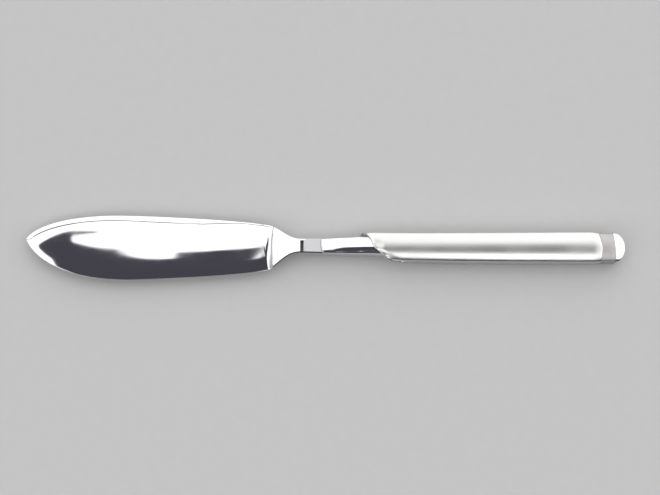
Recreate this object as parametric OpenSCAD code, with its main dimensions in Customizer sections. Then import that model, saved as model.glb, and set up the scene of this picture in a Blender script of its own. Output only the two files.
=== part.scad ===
// Hollow-handled butter knife, lying on its side.
// X runs from the blade's tip to the butt, Y towards the spine, Z up.
// All shapes are lofts of rings about the handle's axis, in millimetres.

/* [Blade] */
// Tip to the front edge of the bolster
blade_l = 74; // [60:1:95]
// Highest point of the spine above the handle's axis
spine_h = 8.8; // [7:0.1:12]
// Lowest point of the belly below the handle's axis
belly_h = 10.75; // [8:0.05:14]
// Middle of the tip above the handle's axis
tip_h = 1.5; // [0:0.1:4]
// Height of the blunt tip
tip_w = 0.7; // [0.3:0.1:2]
// Tip to the spine's highest point
spine_peak = 28; // [20:1:40]
// Tip to the belly's lowest point
belly_peak = 30; // [20:1:40]
// Heel of the spine above the axis
heel_top = 5.7; // [4.5:0.1:7]
// Heel of the belly below the axis
heel_bottom = 7; // [4.5:0.1:8]
// Thickness of the blade along the spine bevel
blade_t = 2.0; // [1.6:0.1:2.6]
// Thickness of the blunt edge
edge_t = 0.5; // [0.3:0.1:0.8]
// Width of the bevel along the spine
bevel_w = 1.5; // [0.8:0.1:2.5]
// Share of the thickness left at the back of the spine bevel
bevel_share = 0.8; // [0.5:0.01:0.9]
// Length over which the faces thin out towards the tip
tip_taper_l = 14; // [8:1:20]

/* [Bolster and tang] */
// Front edge of the bolster to the seam with the collar
bolster_l = 14.6; // [12:0.2:20]
// Thickness where the blade's fillet meets the bolster
plunge_t = 2.24; // [2:0.02:2.6]
// Thickness of the bolster behind its small front step
bolster_t = 2.84; // [2.4:0.02:3.2]
// Thickness where the bolster's slope and the neck's would meet in a crest
crest_t = 4.72; // [4.2:0.02:5.6]
// Width of the waist behind the bolster
waist_w = 4.2; // [3.4:0.1:6]
// How far the middle of the neck lies below the handle's axis
neck_drop = 0.32; // [0:0.02:0.34]
// Chamfer along the lower edges of the bolster and neck
chamfer = 0.36; // [0.1:0.02:0.6]
// How far the bolster's front edge bows towards the tip
plunge_bow = 0.6; // [0:0.1:1.5]
// Length of the fillet between the blade and the bolster, at the spine
plunge_l = 2.8; // [2:0.5:6]
// Diameter of the round tang
tang_d = 2.9; // [2.2:0.1:3.2]
// Length of the tang behind the seam
tang_l = 62; // [40:1:66]

/* [Collar] */
// Width of the collar at the seam
seam_w = 4.4; // [4.1:0.05:6]
// How far the seam bows back towards its lower side
seam_bow = 0.55; // [0:0.05:0.8]
// Thickness of the collar at the seam
seam_t = 4.24; // [4:0.02:5]
// Width of the collar under the lip of the grip
collar_w = 5.6; // [4.8:0.1:6.2]
// Thickness of the collar under the lip of the grip
collar_t = 5.1; // [4.7:0.1:5.2]
// Extra width of the collar's lower side at the heel of the mouth
flare = 0.8; // [0.2:0.1:1.3]
// Length of the spigot inside the grip, behind the heel of the mouth
spigot_l = 9; // [6:1:20]
// Depth of the open gap under the lip of the mouth
reveal = 1.2; // [0.4:0.1:2]

/* [Grip] */
// Seam to the lip of the grip's mouth, on the spine side
lip_at = 11.4; // [9:0.2:14]
// Length of the slanting mouth, from its lip to its heel
mouth_l = 14; // [8:0.2:18]
// Width of the grip at its mouth
grip_front_w = 8.4; // [8:0.1:9.4]
// Width of the grip at its rear end
grip_rear_w = 9.4; // [9:0.1:11]
// Thickness of the grip
grip_t = 7; // [6.6:0.1:8]
// How far the middle of the grip sags towards the belly
grip_sag = 0.3; // [0:0.05:0.4]
// Seam to the front of the band, on the axis
band_at = 83.2; // [78:0.2:92]
// Wall of the half shells
shell_wall = 0.9; // [0.7:0.05:1]
// How far the outer face rolls down to the mouth's edge
mouth_drop = 0.6; // [0.2:0.05:0.65]
// Length over which the outer face rolls down to the mouth's edge
roll_l = 2.8; // [2:0.2:5]
// How far the outer face rolls down to the band
rear_drop = 0.22; // [0.1:0.02:0.4]
// Length over which the outer face rolls down to the band
rear_roll_l = 2.6; // [1:0.2:5]

/* [Band and end cap] */
// Width of the band along the handle
band_l = 4.3; // [3:0.1:6]
// Depth of the band below the faces beside it
band_recess = 0.12; // [0:0.02:0.25]
// Lean of the joint planes at the butt, degrees, with the belly side further back
butt_lean = 4; // [0:1:8]
// How far the joint in front of the band bows back across the broad faces
band_bow = 0.6; // [0:0.1:1]
// How far the joint in front of the end cap bows back across the broad faces
cap_bow = 0.1; // [0:0.1:1]
// Length of the polished end behind the band
cap_l = 3.2; // [3:0.1:6]
// Length of the cap's spigot inside the shells
cap_spigot_l = 7; // [4:1:12]

/* [Fits] */
// Gap filled with braze or cement between nested pieces
fit_gap = 0.05; // [0.03:0.01:0.1]
// Air left behind the end of the tang
tang_end_gap = 0.5; // [0.2:0.1:2]

/* [Hidden] */

// Stations along X, measured from the tip
seam_x = blade_l + bolster_l;
lip_x = seam_x + lip_at;
heel_x = lip_x + mouth_l;
spigot_x = heel_x + spigot_l;
band_x = seam_x + band_at;
cap_x = band_x + band_l;
cap_spigot_x = band_x - cap_spigot_l;
total_l = cap_x + cap_l;

// Sections of the grip: half width of the arch's ellipse as a share, and tightness of the corners
crown = 1.3;
corner = 26;
// Mouth of the grip from its lip to its heel, as the heights of a curve's control points
mouth_path = [0, 0.106, 0.661, -0.262, 0.758, 1];
// Ease of the grip's widening from mouth to rear, and length in front of the band that leans with it
widening = 1.5;
lean_l = 12;
// How far the grip's middle lies below the handle's axis at its lip and at its rear end
grip_low = [0.1, 0.16];
// Fall of the blade's face from bevel to edge
face_power = 2.2;
// Falls of the butt's width and thickness: where each starts, its power and its run
butt_fall_w = [cap_x + cap_l * 0.15, 1.8, cap_l * 0.852];
butt_fall_t = [band_x + band_l * 0.6, 2, (band_l * 0.4 + cap_l) * 1.35];
// Bolster: length of its front step, place of its crest along it and softness of the crest
step_l = 0.42;
crest_at = 0.377;
crest_soft = 0.24;
// Collar: swell behind the seam, squareness at the seam and under the lip, arch of its broad faces
swell = 0.14;
collar_powers = [8, 4.2];
collar_arch = 0.11;

// How far the broad faces would bulge past the flat land of the lower one
land_depth = 0.06;
// Ring sampling: degrees from the side, closer together round the corners
corner_a = 27;
quarter = concat([0, 9], [for (k = [-4 : 4]) corner_a + 2.5 * k], [46, 58, 74]);
half_ring = concat(quarter, [90], [for (k = [len(quarter) - 1 : -1 : 0]) 180 - quarter[k]]);
// Whole rings start behind the top, so that the strips of their covers run across from side to side
ring_angles = concat(
    [for (a = half_ring) if (a > 90) a],
    [for (k = [len(half_ring) - 2 : -1 : 1]) 360 - half_ring[k]],
    [for (a = half_ring) if (a <= 90) a]
);
// Points across a face and steps along a curve
face_points = 11;
curve_steps = 10;

function mix(a, b, t) = a + (b - a) * t;
function clamp01(t) = min(1, max(0, t));
function ease(t) = let (c = clamp01(t)) c * c * (3 - 2 * c);
// Place on a curve by its control points, halved down to one
function bezier(p, t) =
    len(p) == 1 ? p[0] : bezier([for (k = [0 : len(p) - 2]) mix(p[k], p[k + 1], t)], t);
// Parameter of a curve whose x rises steadily, at a given x
function curve_at(p, x, lo = 0, hi = 1, left = 24) =
    left == 0 ? (lo + hi) / 2
    : bezier(p, (lo + hi) / 2)[0] < x ? curve_at(p, x, (lo + hi) / 2, hi, left - 1)
    : curve_at(p, x, lo, (lo + hi) / 2, left - 1);

// Skin over rings that run along +X, each ring anticlockwise seen from +X
function side_faces(rows, n, wrap_rows = false) =
    [for (i = [0 : rows - (wrap_rows ? 1 : 2)], j = [0 : n - 1])
        let (a = i * n, b = (i + 1) % rows * n, k = (j + 1) % n)
        each [[a + j, b + j, b + k], [a + j, b + k, a + k]]];
// Cover of a ring whose first half faces its second half, as strips between the two
function strip_faces(start, n) =
    [for (k = [0 : n / 2 - 2])
        let (a = start + k, b = start + k + 1, c = start + n - 2 - k, d = start + n - 1 - k)
        each [[a, b, c], [a, c, d]]];
function flipped(faces) = [for (f = faces) [f[2], f[1], f[0]]];

// Closed solid with both end rings covered
module loft(rings) {
    n = len(rings[0]);
    last = (len(rings) - 1) * n;
    polyhedron(
        [for (r = rings) each r],
        concat(side_faces(len(rings), n), strip_faces(0, n), flipped(strip_faces(last, n)))
    );
}

// Moves the knife from the handle's axis to the middle of its underside
module place() {
    translate([-total_l / 2, (belly_h - spine_h) / 2, grip_t / 2]) children();
}

// Outlines of the blade, as pairs of curves that meet at the peaks
spine_curves = [
    [[0, tip_h + tip_w / 2], [2.6, mix(tip_h, spine_h, 0.575)], [spine_peak * 0.46, spine_h],
        [spine_peak, spine_h]],
    [[spine_peak, spine_h], [mix(spine_peak, blade_l, 0.22), spine_h],
        [blade_l - 2, heel_top + 1.6], [blade_l, heel_top]]
];
belly_curves = [
    [[0, tip_h - tip_w / 2], [3, mix(tip_h, -belly_h, 0.53)], [belly_peak * 0.42, -belly_h],
        [belly_peak, -belly_h]],
    [[belly_peak, -belly_h], [mix(belly_peak, blade_l, 0.12), -belly_h],
        [blade_l - 3, -heel_bottom - 2], [blade_l, -heel_bottom]]
];
// Bolster: spine side and belly side along X
waist_x = blade_l + bolster_l * 0.59;
waist_top = waist_w / 2 - neck_drop;
waist_bottom = waist_w / 2 + neck_drop;
bolster_spine = [[blade_l, heel_top], [blade_l + 3.5, mix(heel_top, waist_top, 0.47)],
    [waist_x - 3.6, waist_top], [waist_x, waist_top]];
bolster_belly = [[blade_l, -heel_bottom], [blade_l + 3.2, -mix(heel_bottom, waist_bottom, 0.56)],
    [waist_x - 3.6, -waist_bottom], [waist_x, -waist_bottom]];

// Half width of the neck between the waist and the seam
function neck_half_w(x) = mix(waist_w, seam_w, clamp01((x - waist_x) / (seam_x - waist_x))) / 2;
function bolster_top(x) =
    x >= waist_x ? neck_half_w(x) - neck_drop : bezier(bolster_spine, curve_at(bolster_spine, x))[1];
function bolster_bottom(x) =
    x >= waist_x ? -neck_half_w(x) - neck_drop : bezier(bolster_belly, curve_at(bolster_belly, x))[1];
// Shift that bows the seam, and what is beside it, back towards the lower side
function seam_shift(x, y) =
    seam_bow * pow(clamp01(-y / (seam_w / 2 + neck_drop)) * clamp01(1 - abs(x - seam_x) / 4), 2);
// Half thickness: the bolster's slope and the neck's, blended at the crest
function bolster_half_t(x) =
    let (
        front_x = blade_l + step_l,
        crest_x = blade_l + bolster_l * crest_at,
        up = mix(bolster_t, crest_t, (x - front_x) / (crest_x - front_x)) / 2,
        down = mix(crest_t, seam_t, (x - crest_x) / (seam_x - crest_x)) / 2
    )
    -crest_soft * ln(exp(-up / crest_soft) + exp(-down / crest_soft));

// Places across a blade's face, from spine to edge: the spine, the bevel's crease, then the main face
function face_places(crease) =
    concat([0], [for (k = [0 : face_points]) mix(crease, 1, (1 - cos(180 * k / face_points)) / 2)]);
// Places across the bolster: the flat face, then the chamfer along its lower edge
function bolster_places(cut) = concat([for (k = [0 : face_points]) mix(0, 1 - cut, k / face_points)], [1]);
// Half thickness of the blade at a distance from the tip and a place across the face
function blade_half_t(x, v, crease) =
    let (
        taper = 1 - pow(1 - clamp01(x / tip_taper_l), 2),
        q = clamp01((v - crease) / (1 - crease)),
        face = mix(edge_t, blade_t, taper * (1 - pow(q, face_power))) / 2,
        fillet = plunge_l * mix(1, 0.5, v),
        rise = pow(clamp01((x - blade_l + fillet) / fillet), 2)
    )
    mix(v < crease ? face * bevel_share : face, plunge_t / 2, rise);

// One ring of the blade between a point of the spine and a point of the belly
function blade_ring(s, b) =
    let (
        crease = bevel_w * clamp01((blade_l - s[0]) / (blade_l - spine_peak)) / norm(s - b) + 0.01,
        places = face_places(crease),
        bow = function (x, v) x - plunge_bow * (1 - pow(2 * v - 1, 2)) * pow(clamp01(x / blade_l), 12),
        at = function (v, side)
            let (p = mix(s, b, v)) [bow(p[0], v), p[1], side * blade_half_t(p[0], v, crease)]
    )
    concat([for (v = places) at(v, 1)], [for (k = [len(places) - 1 : -1 : 0]) at(places[k], -1)]);
// One ring of the bolster or neck
function bolster_ring(x) =
    let (
        top = bolster_top(x),
        bottom = bolster_bottom(x),
        places = bolster_places(chamfer / (top - bottom)),
        bow = plunge_bow * (1 - clamp01((x - blade_l) / bolster_l * 2)),
        at = function (v, side)
            let (y = mix(top, bottom, v))
            [
                x - bow * (1 - pow(2 * v - 1, 2)) + seam_shift(x, y),
                y,
                side * (bolster_half_t(x) - (v == 1 ? chamfer : 0))
            ]
    )
    concat([for (v = places) at(v, 1)], [for (k = [len(places) - 1 : -1 : 0]) at(places[k], -1)]);

module blade() {
    tip_part = [for (k = [0 : curve_steps]) k / curve_steps];
    heel_part = [for (k = [1 : curve_steps]) k / curve_steps];
    bolster_part = [for (k = [0 : curve_steps * 2]) mix(blade_l + step_l, seam_x, k / (curve_steps * 2))];
    color("gainsboro") union() {
        loft(concat(
            [for (t = tip_part) blade_ring(bezier(spine_curves[0], t), bezier(belly_curves[0], t))],
            [for (t = heel_part) blade_ring(bezier(spine_curves[1], t), bezier(belly_curves[1], t))],
            [for (x = bolster_part) bolster_ring(x)]
        ));
        translate([seam_x - 2, 0, 0]) rotate([0, 90, 0]) cylinder(d = tang_d, h = tang_l + 2, $fn = 48);
    }
}

// Half width of the grip and place of its middle at a distance from the tip
function grip_share(x) = clamp01((x - lip_x) / (band_x - lip_x));
function grip_half_w(x) = mix(grip_front_w, grip_rear_w, 1 - pow(1 - grip_share(x), widening)) / 2;
function grip_y(x) =
    let (t = grip_share(x)) -mix(grip_low[0], grip_low[1], t) - grip_sag * sin(180 * pow(t, 0.6));
// Falls from 1 along the rounded butt
function butt_fall(x, fall) =
    pow(1 - pow(clamp01((x - fall[0]) / fall[2]), fall[1]), 1 / fall[1]);
// Mouth of the grip at an angle from the spine side: the lip leads and the heel trails
function mouth_x(a) = mix(lip_x, heel_x, bezier(mouth_path, (a > 180 ? 360 - a : a) / 180));
// Point of a grip section: gently arched broad faces between upright sides
function grip_point(a, half_w, half_t, arch_w) =
    let (
        arch = 1 / norm([cos(a) / arch_w, sin(a) / half_t]),
        reach = arch * pow(1 + pow(abs(cos(a)) * arch / half_w, corner), -1 / corner)
    )
    [reach * cos(a), reach * sin(a)];
// Share of the butt's lean, and the shift of its bowed and leaning joint planes
function lean_share(x) = pow(clamp01(1 - (band_x - x) / lean_l), 2);
function lean_x(a, y, bow) = bow * pow(sin(a), 2) - y * tan(butt_lean);

// Point of the grip's outer face, set in by a depth, at x before the lean
function outer_point(a, x, depth, lean, bow) =
    let (
        full_w = grip_half_w(x) - depth,
        half_t = (grip_t / 2 + land_depth - depth) * butt_fall(x, butt_fall_t),
        p = grip_point(a, full_w * butt_fall(x, butt_fall_w), half_t, full_w * crown)
    )
    [x + lean * lean_x(a, p[0], bow), p[0] + grip_y(x), p[1]];
// Point of the hollow inside the shells, with a gap taken off
function cavity_point(a, x, gap, lean = 0, bow = 0) =
    let (
        half_w = grip_half_w(x) - shell_wall - gap,
        p = grip_point(a, half_w, grip_t / 2 - shell_wall - gap, half_w * crown)
    )
    [x + lean * lean_x(a, p[0], bow), p[0] + grip_y(x), p[1]];
// Share of the mouth's roll at an angle: full across the broad face, fading out round the sides
function mouth_share(a) = mix(0.2, 1, exp(-pow((a - 83) / 43, 4)));
// How far the outer face has rolled down at a distance from an end
function roll(distance, drop, length) = drop * pow(1 - clamp01(distance / length), 2);

// Rings of a half shell: [share of the way from mouth to band, offset along X]
roll_steps = [0, 0.08, 0.25, 0.5, 0.75, 1];
grip_stations = concat(
    [for (r = roll_steps) [0, r * roll_l]],
    [for (k = [1 : curve_steps]) [k / (curve_steps + 1), 0]],
    [for (k = [len(roll_steps) - 1 : -1 : 0]) [1, -roll_steps[k] * rear_roll_l]]
);
module half_shell() {
    ring = function (share, offset)
        let (
            at = function (a) mix(mouth_x(a), band_x, share) + offset,
            depth = function (a)
                roll(at(a) - mouth_x(a), mouth_drop * mouth_share(a), roll_l)
                + roll(band_x - at(a), rear_drop, rear_roll_l)
        )
        concat(
            [for (a = half_ring) outer_point(a, at(a), depth(a), lean_share(at(a)), band_bow)],
            [for (k = [len(half_ring) - 1 : -1 : 0])
                let (a = half_ring[k]) cavity_point(a, at(a), 0, lean_share(at(a)), band_bow)]
        );
    loft([for (s = grip_stations) ring(s[0], s[1])]);
}
module grip_upper_shell() {
    color("silver") half_shell();
}
// The lower shell has a flat land along its broad face, to rest on
module grip_lower_shell() {
    color("silver") mirror([0, 0, 1]) difference() {
        half_shell();
        translate([lip_x, -grip_rear_w / 2, grip_t / 2]) cube([cap_x - lip_x, grip_rear_w, 1]);
    }
}

// Half width of the collar, wider on the lower side near the heel of the mouth
function collar_half_w(a, x) =
    mix(seam_w, collar_w, clamp01((x - seam_x) / lip_at)) / 2
    + flare * pow(max(0, -cos(a)), 2) * clamp01((x - mouth_x(90)) / (heel_x - mouth_x(90)));
// Half thickness of the collar: a quick swell behind the seam, then an even slope
function collar_half_t(x) =
    seam_t / 2 + swell * (1 - exp((seam_x - x) / 2.6))
    + (collar_t / 2 - seam_t / 2 - swell) * (x - seam_x) / lip_at;
function collar_point(a, x) =
    let (
        half_w = collar_half_w(a, x),
        power = mix(collar_powers[0], collar_powers[1], ease((x - seam_x) / 14)),
        sum = pow(abs(cos(a)) / half_w, power) + pow(abs(sin(a)) / collar_half_t(x), power),
        reach = pow(sum, -1 / power),
        arch = 1 - collar_arch * ease((x - seam_x) / 8) * pow(reach * cos(a) / half_w, 2),
        y = reach * cos(a) - neck_drop * (1 - clamp01((x - seam_x) / lip_at))
    )
    [x + seam_shift(x, y), y, reach * sin(a) * arch];
// Where the collar's outside ends, open by the reveal under the lip
function collar_end(a) = mouth_x(a) - fit_gap + reveal * pow(max(0, cos(a)), 10);

module collar() {
    body_steps = [0 : 1 / curve_steps : 1];
    color("whitesmoke") difference() {
        loft(concat(
            [for (t = body_steps) [for (a = ring_angles) collar_point(a, mix(seam_x, collar_end(a), t))]],
            [[for (a = ring_angles) cavity_point(a, collar_end(a), fit_gap)]],
            [[for (a = ring_angles) cavity_point(a, spigot_x, fit_gap)]]
        ));
        translate([seam_x - 1, 0, 0]) rotate([0, 90, 0])
            cylinder(d = tang_d + 2 * fit_gap, h = spigot_x - seam_x + 2, $fn = 48);
    }
}

module grip_band() {
    depth = rear_drop + band_recess;
    outer = function (s)
        [for (a = ring_angles) outer_point(a, band_x + s * band_l, depth, 1, mix(band_bow, cap_bow, s))];
    inner = function (s)
        [for (a = ring_angles) cavity_point(a, band_x + s * band_l, 0, 1, mix(band_bow, cap_bow, s))];
    rings = concat([for (s = [0 : 0.2 : 1]) outer(s)], [inner(1), inner(0)]);
    color("darkgray")
        polyhedron([for (r = rings) each r], side_faces(len(rings), len(rings[0]), true));
}

module end_cap() {
    dome_steps = [0, 0.2, 0.4, 0.58, 0.73, 0.85, 0.93, 0.98, 1];
    color("whitesmoke") loft(concat(
        [[for (a = ring_angles) cavity_point(a, cap_spigot_x, fit_gap)]],
        [[for (a = ring_angles) cavity_point(a, cap_x, fit_gap, 1, cap_bow)]],
        [for (s = dome_steps)
            [for (a = ring_angles) outer_point(a, mix(cap_x, total_l, s), rear_drop, 1 - s, cap_bow)]]
    ));
}

module tang_cement() {
    fill = [for (k = [0 : curve_steps]) mix(spigot_x, cap_spigot_x, k / curve_steps)];
    color("tan") difference() {
        loft([for (x = fill) [for (a = ring_angles) cavity_point(a, x, fit_gap)]]);
        translate([spigot_x - 1, 0, 0]) rotate([0, 90, 0])
            cylinder(d = tang_d + 2 * fit_gap, h = seam_x + tang_l + tang_end_gap - spigot_x + 1, $fn = 48);
    }
}

place() blade();
place() collar();
place() grip_upper_shell();
place() grip_lower_shell();
place() grip_band();
place() end_cap();
place() tang_cement();
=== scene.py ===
"""Dresses the hollow-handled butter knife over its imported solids.

Lengths in the classes are millimetres, measured as a maker would: X from the
blade's tip towards the butt, Y towards the spine and Z up, both from the
handle's axis. Meshes are written in metres in the part's own frame.
"""

import logging
import math
from collections.abc import Sequence
from dataclasses import dataclass
from enum import Enum

import bmesh
import bpy
import numpy as np
from bpy.types import Material, Mesh, Node, NodeSocket, NodeTree, Object
from mathutils import Euler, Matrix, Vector

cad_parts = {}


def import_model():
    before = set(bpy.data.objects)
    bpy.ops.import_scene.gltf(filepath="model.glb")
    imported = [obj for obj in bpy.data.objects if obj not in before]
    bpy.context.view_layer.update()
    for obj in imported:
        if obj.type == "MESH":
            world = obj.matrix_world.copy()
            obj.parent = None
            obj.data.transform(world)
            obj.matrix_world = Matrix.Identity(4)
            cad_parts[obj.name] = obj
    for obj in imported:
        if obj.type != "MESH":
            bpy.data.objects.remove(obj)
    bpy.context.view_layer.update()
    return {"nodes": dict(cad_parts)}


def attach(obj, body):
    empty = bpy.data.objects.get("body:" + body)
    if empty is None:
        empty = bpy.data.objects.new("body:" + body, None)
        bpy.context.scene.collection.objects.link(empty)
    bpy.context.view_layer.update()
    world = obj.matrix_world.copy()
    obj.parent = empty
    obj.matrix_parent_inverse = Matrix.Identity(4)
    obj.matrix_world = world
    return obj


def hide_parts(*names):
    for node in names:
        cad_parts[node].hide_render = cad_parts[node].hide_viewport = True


log = logging.getLogger("butter_knife")
Array = np.ndarray
Pair = tuple[float, float]
Triple = tuple[float, float, float]

MM = 0.001
# The part's frame has its origin under the middle of the knife, on the table.
FRAME_SHIFT = np.array([-89.65, 0.975, 3.5])


class Cover(Enum):
    """How the end rows of a loft are closed."""

    FLAT = "flat"
    STRIPS = "strips"
    RING = "ring"


class Slot(Enum):
    """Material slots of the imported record."""

    POLISHED = "polished_steel"
    SATIN = "satin_steel"
    BRUSHED = "brushed_steel"


# ---------------------------------------------------------------- small tools


def linear(hex_code: str) -> tuple[float, ...]:
    """Turns an sRGB hex colour into linear light.

    Args:
        hex_code: Six hex digits after a hash sign.

    Returns:
        Linear red, green, blue and an alpha of 1.
    """
    parts = [int(hex_code[k : k + 2], 16) / 255 for k in (1, 3, 5)]
    return (*[p / 12.92 if p <= 0.04045 else ((p + 0.055) / 1.055) ** 2.4 for p in parts], 1.0)


def feed(node: Node, links: dict) -> None:
    """Sets and links inputs of a node.

    Args:
        node: The node.
        links: Input name or number to a value, a socket, or a node whose first output is meant.
    """
    for key, value in links.items():
        source = value.outputs[0] if isinstance(value, Node) else value
        if isinstance(source, NodeSocket):
            node.id_data.links.new(source, node.inputs[key])
        else:
            node.inputs[key].default_value = value


def add_node(tree: NodeTree, kind: str, links: dict | None = None, **settings: object) -> Node:
    """Adds one node with its settings and links.

    Args:
        tree: Node tree that gets the node.
        kind: Blender's name of the node type.
        links: What its inputs get, as for feed.
        **settings: Properties of the node itself.

    Returns:
        The new node.
    """
    made = tree.nodes.new(kind)
    for name, value in settings.items():
        setattr(made, name, value)
    feed(made, links or {})
    return made


def mix(a: Array | float, b: Array | float, t: Array | float) -> Array | float:
    """Blends from a to b."""
    return a + (b - a) * t


def ease(t: Array | float) -> Array:
    """Rises smoothly from 0 to 1 as t does, and is flat outside."""
    t = np.clip(t, 0, 1)
    return t * t * (3 - 2 * t)


def bezier(points: Sequence, t: Array) -> Array:
    """Follows a Bezier curve.

    Args:
        points: Control points or values.
        t: Places on the curve from 0 to 1.

    Returns:
        One point or value for each place.
    """
    p = np.asarray(points, float)
    t = np.asarray(t, float)
    n = len(p) - 1
    weights = np.stack([math.comb(n, k) * (1 - t) ** (n - k) * t**k for k in range(n + 1)], -1)
    return weights @ p


def curve_y(points: Sequence, x: Array) -> Array:
    """Reads the height of a curve whose x rises steadily.

    Args:
        points: Four control points.
        x: Places along X.

    Returns:
        The curve's height at each place.
    """
    line = bezier(points, np.linspace(0, 1, 801))
    return np.interp(x, line[:, 0], line[:, 1])


def section(angle: Array, half_w: Array, half_t: Array, power: Array) -> tuple[Array, Array]:
    """Points of a rounded section seen from its middle.

    Args:
        angle: Directions from the spine side, in radians.
        half_w: Half width.
        half_t: Half thickness.
        power: 2 is an ellipse, larger is squarer.

    Returns:
        Y and Z of each point.
    """
    c, s = np.cos(angle), np.sin(angle)
    reach = (np.abs(c / half_w) ** power + np.abs(s / half_t) ** power) ** (-1 / power)
    return reach * c, reach * s


def chain(tree: NodeTree, steps: list[str], known: dict, kind: str = "ShaderNodeMath") -> dict:
    """Adds a chain of nodes that work on earlier results.

    Args:
        tree: Node tree that gets the nodes.
        steps: For each node its name, its operation and its operands, which are names or numbers.
        known: Sockets or nodes by name, to start from.
        kind: Blender's name of the node type.

    Returns:
        All of them by name, with the new nodes.
    """
    known = dict(known)
    for step in steps:
        name, operation, *operands = step.split()
        links = {k: known[v] if v in known else float(v) for k, v in enumerate(operands)}
        known[name] = add_node(tree, kind, links, operation=operation)
    return known


def rounding(radius: Array | float, d: Array) -> Array:
    """Depth of a rounded arris at distances d behind its edge."""
    return radius - np.sqrt(np.maximum(radius**2 - np.maximum(radius - d, 0) ** 2, 0))


def smooth_piece(name: str, mesh: Mesh, crease: float = 50.0) -> Object:
    """Shades a mesh smooth and puts it into the scene as a piece.

    Args:
        name: Name of the piece.
        mesh: Its mesh, in metres in the part's frame.
        crease: Edges that fold by more than this many degrees stay sharp.

    Returns:
        The piece, at the origin and unturned.
    """
    mesh.shade_smooth()
    mesh.set_sharp_from_angle(angle=math.radians(crease))
    piece = bpy.data.objects.new(name, mesh)
    bpy.context.scene.collection.objects.link(piece)
    return piece


def loft(name: str, rows: Array, cover: Cover, crease: float = 50.0) -> Object:
    """Skins rows of closed rings into one smooth piece with its faces turned outwards.

    Args:
        name: Name of the piece.
        rows: Points by row, place on the ring and axis, in millimetres.
        cover: How the end rows are closed.
        crease: Edges that fold by more than this many degrees stay sharp.

    Returns:
        The piece.
    """
    count, n = rows.shape[:2]
    index = np.arange(count * n).reshape(count, n)
    if cover is Cover.RING:
        index = np.append(index, index[:1], axis=0)
    after = np.roll(index, -1, axis=1)
    faces = np.stack([index[:-1], index[1:], after[1:], after[:-1]], -1).reshape(-1, 4).tolist()
    if cover is Cover.FLAT:
        faces += [index[0].tolist(), index[-1][::-1].tolist()]
    elif cover is Cover.STRIPS:
        k = np.arange(n // 2 - 1)
        strip = np.stack([k, k + 1, n - 2 - k, n - 1 - k], -1)
        faces += index[0][strip].tolist() + index[-1][strip[:, ::-1]].tolist()
    mesh = bpy.data.meshes.new(name)
    mesh.from_pydata(((rows.reshape(-1, 3) + FRAME_SHIFT) * MM).tolist(), [], faces)
    shape = bmesh.new()
    shape.from_mesh(mesh)
    bmesh.ops.recalc_face_normals(shape, faces=shape.faces)
    shape.to_mesh(mesh)
    shape.free()
    return smooth_piece(name, mesh, crease)


def settle(piece: Object, material: Material, slot: Slot, *nodes: str) -> None:
    """Gives a finished piece its material, its body and the solids it stands for.

    Args:
        piece: The finished mesh.
        material: Its finish.
        slot: The record's slot of that finish; not used.
        *nodes: The solids that it replaces.
    """
    piece.data.materials.clear()
    piece.data.materials.append(material)
    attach(piece, "root")
    if nodes:
        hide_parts(*nodes)
    log.info("%s: %d faces", piece.name, len(piece.data.polygons))


# ------------------------------------------------------------------- finishes


def blank_material(name: str) -> tuple[Material, NodeTree, Node]:
    """Makes a material that has only its surface shader.

    Args:
        name: The real material and the process that finished it.

    Returns:
        The material, its node tree and its shader.
    """
    made = bpy.data.materials.new(name)
    made.use_nodes = True
    return made, made.node_tree, made.node_tree.nodes["Principled BSDF"]


@dataclass(frozen=True)
class Steel:
    """Stainless steel: a sheen that varies in patches, over a fine grain in low relief."""

    name: str
    colour: str
    roughness: Pair
    # size of one patch and of one grain along X, Y and Z
    patch_mm: Triple
    grain_mm: Triple
    details: Pair
    strength: float
    height_mm: float
    lean: float = 0.0
    # how much smoother the rubbed edges are
    rub: float = 0.0

    def build(self) -> Material:
        """Builds the material.

        Returns:
            The material with its node tree.
        """
        made, tree, shader = blank_material(self.name)
        where = add_node(tree, "ShaderNodeTexCoord").outputs["Object"]
        noises = []
        for sizes, detail in zip((self.patch_mm, self.grain_mm), self.details, strict=True):
            scale = [1 / (size * MM) for size in sizes]
            turned = {"Vector": where, "Rotation": (0.0, 0.0, self.lean), "Scale": scale}
            along = add_node(tree, "ShaderNodeMapping", turned)
            speckle = {"Vector": along, "Scale": 1.0, "Detail": detail}
            noises.append(add_node(tree, "ShaderNodeTexNoise", speckle))
        low, high = self.roughness
        sheen = add_node(tree, "ShaderNodeMapRange", {"Value": noises[0], 1: 0.3, 2: 0.7, 3: low, 4: high})
        if self.rub:
            worn = add_node(tree, "ShaderNodeAttribute", attribute_name="rub").outputs["Fac"]
            rubbed = {0: worn, 1: -self.rub, 2: sheen}
            sheen = add_node(tree, "ShaderNodeMath", rubbed, operation="MULTIPLY_ADD")
        relief = {"Height": noises[1], "Strength": self.strength, "Distance": self.height_mm * MM}
        bump = add_node(tree, "ShaderNodeBump", relief)
        feed(shader, {"Base Color": linear(self.colour), "Metallic": 1.0, "Roughness": sheen, "Normal": bump})
        return made


# Buffed to a mirror: clear reflections under the cloudy haze of hand work, with the mop's fine lines along
# the knife. Those are a few microns wide; drawn coarser, or they would not show.
MIRROR = Steel(
    name="stainless_steel_mirror_buffed",
    colour="#DCDCDE",
    roughness=(0.025, 0.055),
    patch_mm=(7.0, 7.0, 7.0),
    grain_mm=(9.0, 0.22, 0.22),
    details=(4.0, 2.0),
    strength=0.05,
    height_mm=0.004,
)
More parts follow.
